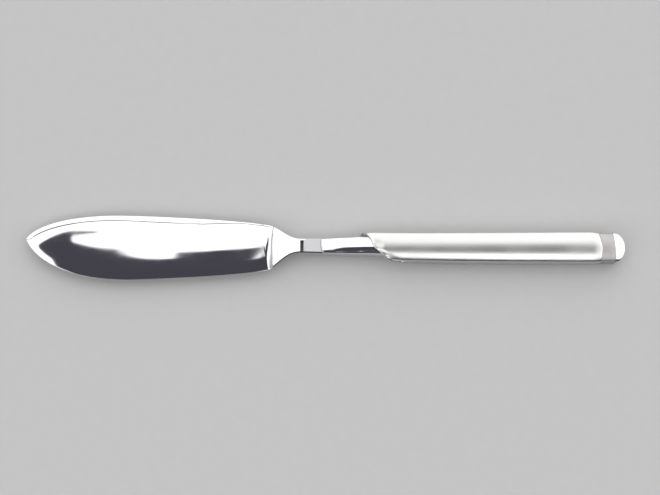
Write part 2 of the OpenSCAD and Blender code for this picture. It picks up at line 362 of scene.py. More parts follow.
# Glass-bead blasted: a soft even sheen, rubbed brighter along its edges. The dimples are about 0.08 mm;
# drawn at 0.28 mm so that they show.
SATIN = Steel(
    name="stainless_steel_bead_blasted",
    colour="#CFD0CE",
    roughness=(0.27, 0.33),
    patch_mm=(9.0, 9.0, 9.0),
    grain_mm=(0.28, 0.28, 0.28),
    details=(5.0, 3.0),
    strength=0.25,
    height_mm=0.02,
    rub=0.16,
)
# Brushed round the handle: grey, with streaks that are fine along X and long across it.
BRUSHED = Steel(
    name="stainless_steel_brushed_round",
    colour="#B3B0B0",
    roughness=(0.38, 0.52),
    patch_mm=(0.3, 14.0, 14.0),
    grain_mm=(0.3, 14.0, 14.0),
    details=(3.0, 3.0),
    strength=0.3,
    height_mm=0.03,
    lean=math.radians(5),
)


@dataclass(frozen=True)
class Matt:
    """A dull surface, mottled between two tints."""

    name: str
    dark: str
    pale: str
    mottle_mm: float
    detail: float
    roughness: float
    specular: float = 0.5
    pit_mm: float = 0.0
    pit_strength: float = 0.6

    def build(self) -> Material:
        """Builds the material.

        Returns:
            The material with its node tree.
        """
        made, tree, shader = blank_material(self.name)
        where = add_node(tree, "ShaderNodeTexCoord").outputs["Object"]
        grain = {"Vector": where, "Scale": 1 / (self.mottle_mm * MM), "Detail": self.detail}
        mottle = add_node(tree, "ShaderNodeTexNoise", grain)
        tint = add_node(tree, "ShaderNodeValToRGB", {"Fac": mottle})
        for stop, code in zip(tint.color_ramp.elements, (self.dark, self.pale), strict=True):
            stop.color = linear(code)
        feed(shader, {"Base Color": tint, "Roughness": self.roughness, "Specular IOR Level": self.specular})
        if self.pit_mm:
            relief = {"Height": mottle, "Strength": self.pit_strength, "Distance": self.pit_mm * MM}
            feed(shader, {"Normal": add_node(tree, "ShaderNodeBump", relief)})
        return made


# Handle cement, poured and set: dull, chalky and pitted.
CEMENT = Matt("handle_cement_set", "#8E7F66", "#B9A98C", 1.6, 6.0, 0.92, pit_mm=0.1)
# Matt paper on the table: a pale grey with a barely seen tooth.
PAPER = Matt("matt_paper_pale_grey", "#B0B0B1", "#B4B4B4", 3.0, 3.0, 0.9, specular=0.2)


# ------------------------------------------------------------------ the knife


@dataclass
class Blade:
    """Ground blade, bolster, neck and the round tang behind them, forged in one."""

    length: float = 74.0
    spine_height: float = 8.8
    belly_depth: float = 10.75
    tip_height: float = 1.5
    tip_width: float = 0.7
    spine_peak: float = 28.0
    belly_peak: float = 30.0
    heel_top: float = 5.7
    heel_bottom: float = 7.0
    # how each side bends: lead and rise from the tip, pull before and behind the peak,
    # run and lift at the heel
    spine_bends: tuple[float, ...] = (2.6, 0.575, 0.46, 0.22, 2.0, 1.6)
    belly_bends: tuple[float, ...] = (3.0, 0.53, 0.42, 0.12, 3.0, -2.0)
    thickness: float = 2.0
    edge_thickness: float = 0.5
    spine_corner: float = 0.16
    edge_round: float = 0.08
    bevel_width: float = 1.58
    # how much wider the bevel is amidships, where that is and how far it spreads
    bevel_swell: Triple = (0.27, 42.0, 12.0)
    # where the bevel would run out, its slope towards there and its least width
    bevel_out: Triple = (70.0, 0.1, 0.62)
    bevel_fall: float = 0.2
    scribe_half: float = 0.17
    scribe_depth: float = 0.15
    # where the scribed line starts to fade, how far it does and what is left
    scribe_fade: Triple = (40.0, 30.0, 0.55)
    tip_taper: float = 14.0
    face_power: float = 2.2
    plunge_length: float = 2.8
    plunge_bow: float = 0.6
    plunge_top: float = 1.12
    step_length: float = 0.42
    bolster_front: float = 1.42
    # how far back the bow of the bolster's front edge reaches
    bow_run: float = 7.0
    # radius of the spine's crisp corner at that edge
    front_corner: float = 0.12
    # lead and fall of the bolster's bends on the spine side and the belly side, and their run at the waist
    bolster_bends: tuple[Pair, Pair] = ((3.5, 0.47), (3.2, 0.56))
    waist_run: float = 3.6
    crest_at: float = 79.5
    crest_height: float = 2.36
    crest_soft: float = 0.24
    waist_at: float = 82.6
    waist_width: float = 4.2
    neck_drop: float = 0.32
    seam_at: float = 88.6
    seam_width: float = 4.4
    seam_height: float = 2.12
    seam_arris: float = 0.16
    seam_bow: float = 0.55
    chamfer: float = 0.36
    tang_radius: float = 1.45
    # length of the tang's tapered tip, and its end radius
    tang_tip: Pair = (0.4, 1.1)
    tang_end: float = 150.6
    face_points: int = 56

    def outline(self) -> tuple[Array, Array]:
        """Points of the spine and the belly that face each other, from tip to heel.

        Returns:
            Spine points and belly points, as X and Y.
        """
        end, half = self.length, self.tip_width / 2
        tip = np.linspace(0, 1, 96) ** 1.5
        rest = np.linspace(0, 1, 150)[1:]
        sides = []
        for start, level, peak, heel, bends in (
            (self.tip_height + half, self.spine_height, self.spine_peak, self.heel_top, self.spine_bends),
            (self.tip_height - half, -self.belly_depth, self.belly_peak, -self.heel_bottom, self.belly_bends),
        ):
            lead, rise, near, far, run, lift = bends
            front = [[0, start], [lead, mix(self.tip_height, level, rise)], [peak * near, level], [peak, level]]
            back = [[peak, level], [mix(peak, end, far), level], [end - run, heel + lift], [end, heel]]
            sides.append(np.concatenate([bezier(front, tip), bezier(back, rest)]))
        return sides[0], sides[1]

    def places(self, width: Array, bevel: Array, corner: Array, edge: Array) -> tuple[Array, Array]:
        """Spreads points over a half section from the spine to the edge.

        Args:
            width: Width of each row.
            bevel: Width of its spine bevel.
            corner: Radius of its spine corner.
            edge: Length of its rounded edge.

        Returns:
            Distances from the spine, and shares of the height that stand the spine's wall up.
        """
        turn = np.linspace(0, np.pi / 2, 6)[1:]
        w, b, c, e = (v[:, None] for v in (width, bevel, corner, edge))
        parts = [
            np.zeros((len(width), 3)),
            c * (1 - np.cos(turn)),
            mix(c, b - 0.3, np.array([0.5, 1.0])),
            b + self.scribe_half * np.array([-1.1, -1, -0.75, -0.4, -0.1, 0, 0.1, 0.4, 0.75, 1, 1.1]),
            mix(b + 0.3, w - e, np.linspace(0, 1, self.face_points)),
            w - e + e * np.sin(np.linspace(0, np.pi / 2, 9)[1:]),
        ]
        distance = np.concatenate(parts, axis=1)
        stand = np.ones(distance.shape[1])
        stand[:2] = (0.0, 0.5)
        return distance, stand

    def blade_rows(self) -> Array:
        """Rows of the ground blade up to the bolster's step.

        Returns:
            Rings by row, place and axis.
        """
        spine, belly = self.outline()
        across = belly - spine
        width = np.linalg.norm(across, axis=1)
        swell, middle, spread = self.bevel_swell
        out, slope, least = self.bevel_out
        wide = self.bevel_width + swell * np.exp(-(((spine[:, 0] - middle) / spread) ** 2))
        bevel = np.clip(slope * (out - spine[:, 0]), least, wide)
        # close to the tip every part of the section shrinks with its width
        bevel = np.minimum(bevel, 0.3 * width + 0.42)
        corner = np.minimum(self.spine_corner, 0.1 * width)
        edge = np.minimum(self.edge_round, 0.3 * width)
        scale = np.minimum(1, width / 3)
        distance, stand = self.places(width / scale, bevel / scale, corner / scale, edge / scale)
        distance = distance * scale[:, None]
        v = distance / width[:, None]
        x = spine[:, :1] + across[:, :1] * v
        y = spine[:, 1:] + across[:, 1:] * v
        b, c, e, w = (k[:, None] for k in (bevel, corner, edge, width))
        taper = 1 - (1 - np.clip(x / self.tip_taper, 0, 1)) ** 2
        q = np.clip((distance - b) / (w - b), 0, 1)
        z = mix(self.edge_thickness, self.thickness, taper * (1 - q**self.face_power)) / 2
        z -= self.bevel_fall * np.clip(1 - distance / b, 0, 1) * taper
        # the scribed line where the bevel meets the face, fainter towards the heel
        start, run, left = self.scribe_fade
        scribe = np.minimum(1, 4 * taper) * mix(1.0, left, np.clip((x - start) / run, 0, 1))
        z -= self.scribe_depth * scribe * np.clip(1 - np.abs(distance - b) / self.scribe_half, 0, 1)
        fillet = self.plunge_length * mix(1.0, 0.5, np.clip(v, 0, 1))
        rise = np.clip((x - self.length + fillet) / fillet, 0, 1) ** 2
        z = mix(z, self.plunge_top, rise)
        z -= rounding(c, distance)
        run = np.clip((distance - (w - e)) / e, 0, 1)
        z = z * np.sqrt(1 - run**2) * stand
        x = x - self.plunge_bow * (1 - (2 * v - 1) ** 2) * np.clip(x / self.length, 0, 1) ** 12
        return self.mirrored(x, y, z)

    def crest(self, x: Array) -> Array:
        """Half thickness along the bolster and neck.

        Args:
            x: Places along X.

        Returns:
            The half thickness at each place.
        """
        top, at, soft = self.crest_height, self.crest_at, self.crest_soft
        front = self.length + self.step_length
        up = self.bolster_front + (top - self.bolster_front) / (at - front) * (x - front)
        down = top + (self.seam_height - top) / (self.seam_at - at) * (x - at)
        return -soft * np.log(np.exp(-up / soft) + np.exp(-down / soft))

    def bolster_rows(self) -> Array:
        """Rows of the bolster's step, the bolster and the neck.

        Returns:
            Rings by row, place and axis.
        """
        r = self.seam_arris
        x = np.concatenate([
            self.length + self.step_length * np.array([1, 2, 3]) / 3,
            np.linspace(self.length + 0.55, self.seam_at - r, 130),
            self.seam_at - r + r * np.sin(np.linspace(0, np.pi / 2, 8)[1:]),
        ])
        up, down = self.waist_width / 2 - self.neck_drop, self.waist_width / 2 + self.neck_drop
        wider = (self.seam_width - self.waist_width) / 2
        wider = wider * np.clip((x - self.waist_at) / (self.seam_at - self.waist_at), 0, 1)
        sides = []
        ends = ((self.heel_top, up), (self.heel_bottom, down))
        for (heel, waist), (lead, fall) in zip(ends, self.bolster_bends, strict=True):
            bend = [self.length + lead, mix(heel, waist, fall)]
            curve = [[self.length, heel], bend, [self.waist_at - self.waist_run, waist], [self.waist_at, waist]]
            sides.append(curve_y(curve, x) + wider)
        top, low = sides
        tall = self.crest(x)
        # the step up from the blade, and the rounded arris at the seam
        tall[:3] = mix(self.plunge_top, self.bolster_front, np.array([0.36, 0.72, 1.0]))
        arris = rounding(r, self.seam_at - x)
        top, low = top - arris, low - arris
        width = top + low
        # a crisp arris on the spine side, a chamfer below
        crisp = mix(self.front_corner, self.spine_corner, ease((x - self.length) / self.bow_run))
        distance, stand = self.places(width, np.full(len(x), 1.2), crisp, np.full(len(x), self.chamfer))
        v = distance / width[:, None]
        y = top[:, None] - distance
        bow = self.plunge_bow * (1 - np.clip((x - self.length) / self.bow_run, 0, 1))[:, None]
        bow = bow * (1 - (2 * v - 1) ** 2)
        ring_x = x[:, None] - bow
        level = self.crest(np.maximum(ring_x, self.length + self.step_length - bow)) - arris[:, None]
        level[:3] = (tall[:3] - arris[:3])[:, None]
        level -= rounding(crisp[:, None], distance) + np.maximum(distance - width[:, None] + self.chamfer, 0)
        z = level * stand
        # the wall below the lower arris
        z[:, -2], z[:, -1] = z[:, -1], 0.0
        y[:, -2] = y[:, -1]
        return self.mirrored(ring_x + self.seam_shift(ring_x, y), y, z)

    def seam_shift(self, x: Array, y: Array) -> Array:
        """How far the seam and what is beside it bow back towards the belly side.

        Args:
            x: Places along X.
            y: Places along Y.

        Returns:
            Shifts along X.
        """
        low = np.clip(-y / (self.seam_width / 2 + self.neck_drop), 0, 1)
        return self.seam_bow * low**2 * np.clip(1 - np.abs(x - self.seam_at) / 4, 0, 1) ** 2

    def tang_rows(self, like: Array) -> Array:
        """Rows of the round tang, from the neck's end face.

        Args:
            like: The neck's last ring, which gives the directions.

        Returns:
            Rings by row, place and axis.
        """
        turn = np.arctan2(like[:, 2], like[:, 1])
        (run, tip), full = self.tang_tip, self.tang_radius
        rings = ((self.seam_at, full), (self.tang_end - run, full), (self.tang_end, tip))
        rows = [np.stack([np.full(len(turn), x), r * np.cos(turn), r * np.sin(turn)], -1) for x, r in rings]
        return np.array(rows)

    @staticmethod
    def mirrored(x: Array, y: Array, z: Array) -> Array:
        """Closes upper half sections into rings with their mirror image.

        Args:
            x: Places along X, by row and point.
            y: Places along Y.
            z: Heights of the upper half, 0 at both ends.

        Returns:
            Rings by row, place and axis.
        """
        x = np.broadcast_to(x, y.shape)
        upper = np.stack([x, y, z], -1)
        lower = (upper * np.array([1, 1, -1]))[:, -2:0:-1]
        return np.concatenate([upper, lower], axis=1)

    def build(self) -> Object:
        """Builds the blade with its bolster, neck and tang."""
        rows = np.concatenate([self.blade_rows(), self.bolster_rows()])
        return loft("blade_forging", np.concatenate([rows, self.tang_rows(rows[-1])]), Cover.FLAT, 42.0)

    def dress(self, finish: Material) -> None:
        """Builds the piece and settles it in the frame."""
        settle(self.build(), finish, Slot.POLISHED, "blade")


@dataclass
class Grip:
    """Two pressed half shells, brazed along the sides, with a slanting mouth."""

    lip_at: float = 100.0
    heel_at: float = 114.0
    mouth_path: tuple[float, ...] = (0.0, 0.106, 0.661, -0.262, 0.758, 1.0)
    front_width: float = 8.4
    rear_width: float = 9.4
    thickness: float = 7.0
    # how far the arch rises above that, where no flat cuts it
    crest_rise: float = 0.06
    wall: float = 0.9
    # half width of the arch's ellipse, as a share of the grip's, and how tight the corners are
    crown: float = 1.3
    corner: float = 26.0
    sag: float = 0.3
    lip_low: float = 0.1
    rear_low: float = 0.16
    widening: float = 1.5
    rear_at: float = 171.8
    # rounding at the rear: depth and length of the roll, and of the arris
    rear_drop: float = 0.22
    rear_roll: float = 2.6
    arris: Pair = (0.1, 0.2)
    # bow and lean of the rear joint, and how far forward they reach
    rear_bow: float = 0.6
    lean: float = -math.tan(math.radians(4))
    lean_run: float = 12.0
    # the bead behind the mouth: its slope, how softly that bends, and its run
    bead_slope: float = 0.21
    bead_soft: float = 0.14
    bead_run: float = 2.2
    # where the bead fades towards the heel, on the upper shell and on the lower
    bead_fades: Pair = (1.95, 2.6)
    # how far the bead's crest lies behind the edge: across a slant, beside the broad face, at most
    bead_reach: Triple = (1.7, 1.75, 3.6)
    # its extra reach on the broad face, the direction of that and its spread
    bead_swell: Triple = (1.6, 1.4, 0.5)
    # what the bead loses towards the heel and over what turn
    heel_loss: Pair = (0.8, 0.45)
    # what it loses towards the lip, where that ends and over what turn
    lip_loss: Triple = (0.5, 0.8, 0.5)
    # rounding of the mouth's edge: least depth, more depth with the bead, and length
    edge_roll: Triple = (0.03, 0.17, 0.4)
    # how far the mouth is rubbed, then the rear rim's share of that and its reach
    rub_mouth: float = 0.7
    rub_rear: Pair = (0.6, 0.4)
    # share of it along the long corners, their direction and how wide it is
    rub_corner: Triple = (0.8, 0.42, 0.13)
    # length of the closely set rows behind the mouth
    front_rows: float = 4.2
    # depth and half width of the hairline along the brazed seam
    hairline: Pair = (0.05, 0.07)

    def mouth(self, angle: Array) -> Array:
        """Where the mouth's edge is, by direction from the spine side, in radians."""
        return mix(self.lip_at, self.heel_at, bezier(self.mouth_path, np.abs(angle) / np.pi))

    def section(self, angle: Array, half_w: Array, half_t: Array, share: float = 1.0) -> tuple[Array, Array]:
        """Points of the crowned section: gently arched faces between upright sides.

        Args:
            angle: Directions from the spine side, in radians.
            half_w: Half width.
            half_t: Half thickness.
            share: Half width over that of the arch where it was not yet narrowed.

        Returns:
            Y and Z of each point.
        """
        c, s = np.cos(angle), np.sin(angle)
        arch = 1 / np.hypot(c * share / (self.crown * half_w), s / half_t)
        reach = arch * (1 + (np.abs(c) * arch / half_w) ** self.corner) ** (-1 / self.corner)
        return reach * c, reach * s

    def turns(self) -> Array:
        """Directions over the upper half, closer together round the corners.

        Returns:
            Angles from the spine side to the other, in radians.
        """
        ends = (0, 0.3, 0.66, np.pi - 0.66, np.pi - 0.3, np.pi)
        parts = [np.linspace(a, b, n, endpoint=False) for a, b, n in zip(ends, ends[1:], (11, 41, 59, 41, 11))]
        return np.append(np.concatenate(parts), np.pi)

    def drift(self, x: Array) -> Array:
        """How far the middle of the grip lies towards the spine, at places along X."""
        t = np.clip((x - self.lip_at) / (self.rear_at - self.lip_at), 0, 1)
        return -mix(self.lip_low, self.rear_low, t) - self.sag * np.sin(np.pi * t**0.6)

    def half_width(self, x: Array) -> Array:
        """Half width of the grip at places along X."""
        t = np.clip((x - self.lip_at) / (self.rear_at - self.lip_at), 0, 1)
        return mix(self.front_width, self.rear_width, 1 - (1 - t) ** self.widening) / 2

    def depth(self, d: Array, angle: Array, side: int) -> Array:
        """How far the outer face lies in, by distance behind the mouth's edge.

        Args:
            d: Distances behind the edge.
            angle: Directions from the spine side.
            side: 1 for the upper half shell, -1 for the lower.

        Returns:
            Depths below the full outline.
        """
        y, z = self.section(angle, self.front_width / 2, self.thickness / 2)
        along, *across = (np.gradient(v, axis=-1) for v in (self.mouth(angle), y, z))
        slant = along / np.hypot(*across)
        # as wide across the edge where the mouth slants, and widest on the broad face
        slanted, plain, most = self.bead_reach
        swell, middle, spread = self.bead_swell
        plain = plain + swell * np.exp(-(((angle - middle) / spread) ** 2))
        reach = np.minimum(np.maximum(slanted * np.hypot(1, slant), plain), most)
        (heel, heel_turn), (lip, lip_end, lip_turn) = self.heel_loss, self.lip_loss
        share = 1 - heel * ease((angle - self.bead_fades[side < 0]) / heel_turn)
        share = share - lip * ease((lip_end - angle) / lip_turn)
        # an even slope up to the bead's crest, softly bent at both its ends
        soft = self.bead_soft
        high, low = (soft * np.log1p(np.exp((r - d) / soft)) for r in (reach, reach - self.bead_run))
        least, more, run = self.edge_roll
        roll = (least + more * share) * np.clip(1 - d / run, 0, 1) ** 2
        return self.bead_slope * share * (high - low) + roll

    def shell(self, side: int) -> tuple[Array, Array]:
        """Rows of one half shell.

        Args:
            side: 1 for the upper half, -1 for the lower, which has a flat to rest on.

        Returns:
            Rings by row, place and axis, and the rubbed share of each point.
        """
        angle = self.turns()
        mouth = self.mouth(angle)[None]
        rear = np.full_like(mouth, self.rear_at)
        start = np.concatenate([np.linspace(0, 0.5, 12), np.linspace(0.62, self.front_rows, 36)])[:, None]
        end = np.concatenate([np.linspace(self.rear_roll, 0.3, 14), np.linspace(0.24, 0, 7)])[:, None]
        middle = np.linspace(0, 1, 72)[1:-1, None]
        middle = mix(mouth + self.front_rows, rear - self.rear_roll, middle)
        x = np.concatenate([mouth + start, middle, rear - end])
        behind = x - mouth
        ahead = rear - x
        depth = self.depth(behind, angle[None], side)
        for drop, run in ((self.rear_drop, self.rear_roll), self.arris):
            depth = depth + drop * np.clip(1 - ahead / run, 0, 1) ** 2
        half = self.half_width(x)
        y, z = self.section(angle[None], half - depth, self.thickness / 2 + self.crest_rise - depth)
        if side < 0:
            z = np.minimum(z, self.thickness / 2)
        # the brazed seam along the sides shows as a hairline
        hair, spread = self.hairline
        y = y - hair * np.exp(-((z / spread) ** 2)) * np.sign(np.cos(angle[None]))
        near = np.clip(1 - ahead / self.lean_run, 0, 1) ** 2
        bow = self.rear_bow * near * np.sin(angle[None]) ** 2
        lean = self.lean * near
        outer = np.stack([x + lean * y + bow, y + self.drift(x), z], -1)
        inner_y, inner_z = self.section(angle[None], half - self.wall, self.thickness / 2 - self.wall)
        inner = np.stack([x + lean * inner_y + bow, inner_y + self.drift(x), inner_z], -1)[:, ::-1]
        # rubbed along the mouth, the rear rim and the long corners
        (rim, rim_run), (worn, place, wide) = self.rub_rear, self.rub_corner
        rub = np.maximum(np.exp(-((behind / self.rub_mouth) ** 2)), rim * np.exp(-((ahead / rim_run) ** 2)))
        corner = np.minimum(angle, np.pi - angle)[None] - place
        rub = np.maximum(rub, worn * np.exp(-((corner / wide) ** 2)))
        rows = np.concatenate([outer, inner], axis=1) * np.array([1, 1, side])
        return rows, np.concatenate([rub, rub[:, ::-1]], axis=1)

    def build(self, name: str, side: int) -> Object:
        """Builds one half shell.

        Args:
            name: Name of the piece.
            side: 1 for the upper half, -1 for the lower.

        Returns:
            The piece with its rubbed edges as an attribute.
        """
        rows, rub = self.shell(side)
        piece = loft(name, rows, Cover.STRIPS)
        worn = piece.data.attributes.new("rub", "FLOAT", "POINT")
        worn.data.foreach_set("value", rub.reshape(-1).astype(np.float32))
        return piece

    def dress(self, finish: Material) -> None:
        """Builds both half shells and settles them in the frame."""
        settle(self.build("grip_shell_upper", 1), finish, Slot.SATIN, "grip_upper_shell")
        settle(self.build("grip_shell_lower", -1), finish, Slot.SATIN, "grip_lower_shell")


@dataclass
class Collar:
    """Polished ferrule between the neck and the grip, with its spigot inside the grip."""

    grip: Grip
    blade: Blade
    mouth_width: float = 5.6
    flare: float = 0.8
    flare_power: float = 1.1
    crown: float = 0.11
    # how far behind the seam the section and the crown reach their full shape
    shape_runs: Pair = (14.0, 8.0)
    # the face's quick rise behind the seam, the length of that, and its even slope
    face: Triple = (0.14, 2.6, 0.026)
    # squareness of the section at the seam and farther back
    powers: Pair = (8.0, 4.2)
    reveal: float = 1.2
    spigot_end: float = 123.0
    bore: float = 1.5
    gap: float = 0.05

    def end(self, angle: Array) -> Array:
        """Where the outside ends, open by the reveal under the lip."""
        return self.grip.mouth(angle) - self.gap + self.reveal * np.maximum(0, np.cos(angle)) ** 10

    def skin(self, angle: Array, x: Array) -> tuple[Array, Array]:
        """Points of the outside.

        Args:
            angle: Directions from the spine side.
            x: Places along X.

        Returns:
            Y and Z of each point.
        """
        g, b = self.grip, self.blade
        t = np.clip((x - b.seam_at) / (g.lip_at - b.seam_at), 0, 1)
        mid = float(g.mouth(np.array(np.pi / 2)))
        low = np.maximum(0, -np.cos(angle)) ** 2
        spread = self.flare * low * np.clip((x - mid) / (g.heel_at - mid), 0, 1) ** self.flare_power
        half_w = mix(b.seam_width, self.mouth_width, t) / 2 + spread
        run = x - b.seam_at
        rise, length, slope = self.face
        half_t = b.seam_height + rise * (1 - np.exp(-run / length)) + slope * run
        square, arch = (ease(run / full) for full in self.shape_runs)
        y, z = section(angle, half_w, half_t, mix(*self.powers, square))
        crown = self.crown * arch
        return y - b.neck_drop * (1 - t), z * (1 - crown * (y / half_w) ** 2)

    def build(self) -> Object:
        """Builds the ferrule as a tube from its seam to the spigot's end.

        Returns:
            The piece.
        """
        angle = np.linspace(-np.pi, np.pi, 193)[:-1]
        end = self.end(angle)
        rows = []
        b, g = self.blade, self.grip
        r = b.seam_arris
        # a rounded arris at the seam, then the face up to the grip's mouth
        places = [np.full_like(angle, b.seam_at + r * (1 - math.cos(t))) for t in np.linspace(0, np.pi / 2, 8)]
        places += [mix(b.seam_at + r, end, t) for t in np.linspace(0, 1, 90)[1:]]
        for x in places:
            y, z = self.skin(angle, x)
            left = 1 - rounding(r, x - b.seam_at) / np.hypot(y, z)
            y, z = y * left, z * left
            rows.append(np.stack([x + b.seam_shift(x, y), y, z], -1))
        # the spigot inside the grip, and the bore
        for x in (end, np.full_like(angle, self.spigot_end)):
            half = g.half_width(x) - g.wall - self.gap
            y, z = g.section(angle, half, g.thickness / 2 - g.wall - self.gap)
            rows.append(np.stack([x, y + g.drift(x), z], -1))
        for x in (self.spigot_end, b.seam_at):
            y, z = self.bore * np.cos(angle), self.bore * np.sin(angle)
            rows.append(np.stack([np.full_like(angle, x), y, z], -1))
        return loft("collar_ferrule", np.array(rows), Cover.RING)

    def dress(self, finish: Material) -> None:
        """Builds the piece and settles it in the frame."""
        settle(self.build(), finish, Slot.POLISHED, "collar")


@dataclass
class Butt:
    """The brushed band and the polished end cap that close the grip."""

    grip: Grip
    band_length: float = 4.3
    band_recess: float = 0.12
    # rounding of the band's rims: its depth, and its share of the length
    rim_drop: float = 0.1
    rim_share: float = 0.05
    cap_length: float = 3.2
    cap_bow: float = 0.1
    spigot_length: float = 7.0
    spigot_gap: float = 0.05
    # where the rounding starts, its power and how far it would run: width, thickness
    falls: tuple[Triple, ...] = ((176.58, 1.8, 2.726), (174.38, 2.0, 6.64))
    rib_count: int = 7
    rib_radius: float = 0.09
    rib_height: float = 0.04

    @property
    def cap_at(self) -> float:
        """Joint between the band and the cap."""
        return self.grip.rear_at + self.band_length

    def band(self) -> Object:
        """Builds the band as a tube with rounded rims.

        Returns:
            The piece.
        """
        g = self.grip
        half = g.turns()
        angle = np.concatenate([half, -half[-2:0:-1]])
        half_w, half_t = g.rear_width / 2, g.thickness / 2
        stations = []
        for s in np.concatenate([[0, 0.02, 0.05], np.linspace(0.08, 0.92, 30), [0.95, 0.98, 1]]):
            x = g.rear_at + s * self.band_length
            rim = self.rim_drop * max(0, 1 - min(s, 1 - s) / self.rim_share) ** 2
            depth = g.rear_drop + self.band_recess + rim
            wide, tall = ((1 - min(max((x - at) / run, 0), 1) ** p) ** (1 / p) for at, p, run in self.falls)
            bow = mix(g.rear_bow, self.cap_bow, s)
            stations.append((x, bow, (half_w - depth) * wide, (half_t + g.crest_rise - depth) * tall, wide))
        for x, bow in ((self.cap_at, self.cap_bow), (g.rear_at, g.rear_bow)):
            stations.append((x, bow, half_w - g.wall, half_t - g.wall, 1.0))
        rows = []
        for x, bow, w, t, wide in stations:
            y, z = g.section(angle, w, t, wide)
            rows.append(np.stack([x + g.lean * y + bow * np.sin(angle) ** 2, y + g.drift(x), z], -1))
        return loft("grip_band_ring", np.array(rows), Cover.RING)

    def dress(self, brushed: Material, polished: Material) -> None:
        """Builds the band, the cap and the ribs, and settles them in the frame.

        Args:
            brushed: Finish of the band and its ribs.
            polished: Finish of the cap.
        """
        settle(self.band(), brushed, Slot.BRUSHED, "grip_band")
        settle(self.cap(polished), polished, Slot.POLISHED, "end_cap")
        settle(self.ribs(brushed), brushed, Slot.BRUSHED)

    def rule_tree(self, name: str, values: dict[str, float | int]) -> tuple[NodeTree, dict]:
        """Starts a Geometry Nodes tree with named inputs.

        Args:
            name: Name of the tree.
            values: Its inputs by name, which give their types.

        Returns:
            The tree and its input sockets by name.
        """
        tree = bpy.data.node_groups.new(name, "GeometryNodeTree")
        for label, value in values.items():
            kind = "NodeSocketInt" if isinstance(value, int) else "NodeSocketFloat"
            tree.interface.new_socket(label, in_out="INPUT", socket_type=kind)
        tree.interface.new_socket("Geometry", in_out="OUTPUT", socket_type="NodeSocketGeometry")
        put = add_node(tree, "NodeGroupInput")
        return tree, {label: put.outputs[label] for label in values}

    def grown(self, name: str, tree: NodeTree, values: dict[str, float | int]) -> Object:
        """Runs a Geometry Nodes tree once and keeps its mesh.

        Args:
            name: Name of the piece.
            tree: The tree to run.
            values: Its inputs by name.

        Returns:
            A plain mesh object.
        """
        seed = bpy.data.objects.new(name + "_seed", bpy.data.meshes.new(name + "_seed"))
        bpy.context.scene.collection.objects.link(seed)
        modifier = seed.modifiers.new("grow", "NODES")
        modifier.node_group = tree
        for item in tree.interface.items_tree:
            if item.in_out == "INPUT":
                modifier[item.identifier] = values[item.name]
        graph = bpy.context.evaluated_depsgraph_get()
        mesh = bpy.data.meshes.new_from_object(seed.evaluated_get(graph), depsgraph=graph)
        seed.modifiers.remove(modifier)
        bpy.data.objects.remove(seed)
        mesh.name = name
        return smooth_piece(name, mesh)

    def section_steps(self) -> list[str]:
        """Steps from a direction to a point of the grip's section.

        Returns:
            Steps that make y and z from c and s.
        """
        return [
            "cw DIVIDE c half_w", "ce DIVIDE c arch", "ce MULTIPLY ce ce", "se DIVIDE s half_t",
            "e MULTIPLY_ADD se se ce", "e SQRT e", "k ABSOLUTE cw", "k DIVIDE k e", "k POWER k corner",
            "k ADD k 1.0", "root DIVIDE -1.0 corner", "k POWER k root", "reach DIVIDE k e",
            "y MULTIPLY reach c", "z MULTIPLY reach s",
        ]

    def share_steps(self) -> list[str]:
        """Steps that shrink the section's half sizes along the rounded butt.

        Returns:
            Steps that make half_w and half_t, and the share of each, from x.
        """
        steps = []
        for name, (start, power, run) in zip(("half_w", "half_t"), self.falls, strict=True):
            steps += [
                f"u SUBTRACT x {start}", f"u DIVIDE u {run}", "u MAXIMUM u 0.0",
                f"u POWER u {power}", "u SUBTRACT 1.0 u", "u MAXIMUM u 0.0",
                f"{name}_share POWER u {1 / power}", f"{name} MULTIPLY {name} {name}_share",
            ]
        return steps

    def frame_steps(self) -> list[str]:
        """Steps from the handle's axes to the part's frame, in metres.

        Returns:
            Steps that move and scale x, y and z.
        """
        shift = FRAME_SHIFT + np.array([0, self.grip.drift(self.cap_at), 0])
        steps = []
        for k, v in zip("xyz", shift, strict=True):
            steps += [f"{k} ADD {k} {float(v)}", f"{k} MULTIPLY {k} {MM}"]
        return steps

    def cap(self, finish: Material) -> Object:
        """Grows the domed end cap from the rule of its section and its fall.

        Args:
            finish: Its material, which the tree sets.

        Returns:
            The piece.
        """
        g = self.grip
        half_w, half_t = g.rear_width / 2 - g.rear_drop, g.thickness / 2 + g.crest_rise - g.rear_drop
        values = {
            "half_w": half_w, "half_t": half_t, "arch": g.crown * half_w, "corner": g.corner,
            "start": self.cap_at, "length": self.cap_length, "lean": g.lean, "bow": self.cap_bow,
            "spigot_w": g.rear_width / 2 - g.wall - self.spigot_gap,
            "spigot_t": g.thickness / 2 - g.wall - self.spigot_gap,
            "spigot_l": self.band_length + self.spigot_length,
        }
        tree, given = self.rule_tree("domed_cap", values)
        # rows bunch up towards the end, where the dome turns over
        dome = [
            "t ADD h 0.5", "v SUBTRACT 1.0 t", "v POWER v 2.2", "v SUBTRACT 1.0 v", "joint SUBTRACT 1.0 v",
            "x MULTIPLY_ADD v length start", *self.share_steps(),
        ]
        plug = [
            "half_w ADD spigot_w 0.0", "half_t ADD spigot_t 0.0", "t SUBTRACT h 0.47", "joint ADD h 0.5",
            "x MULTIPLY_ADD t spigot_l start",
        ]
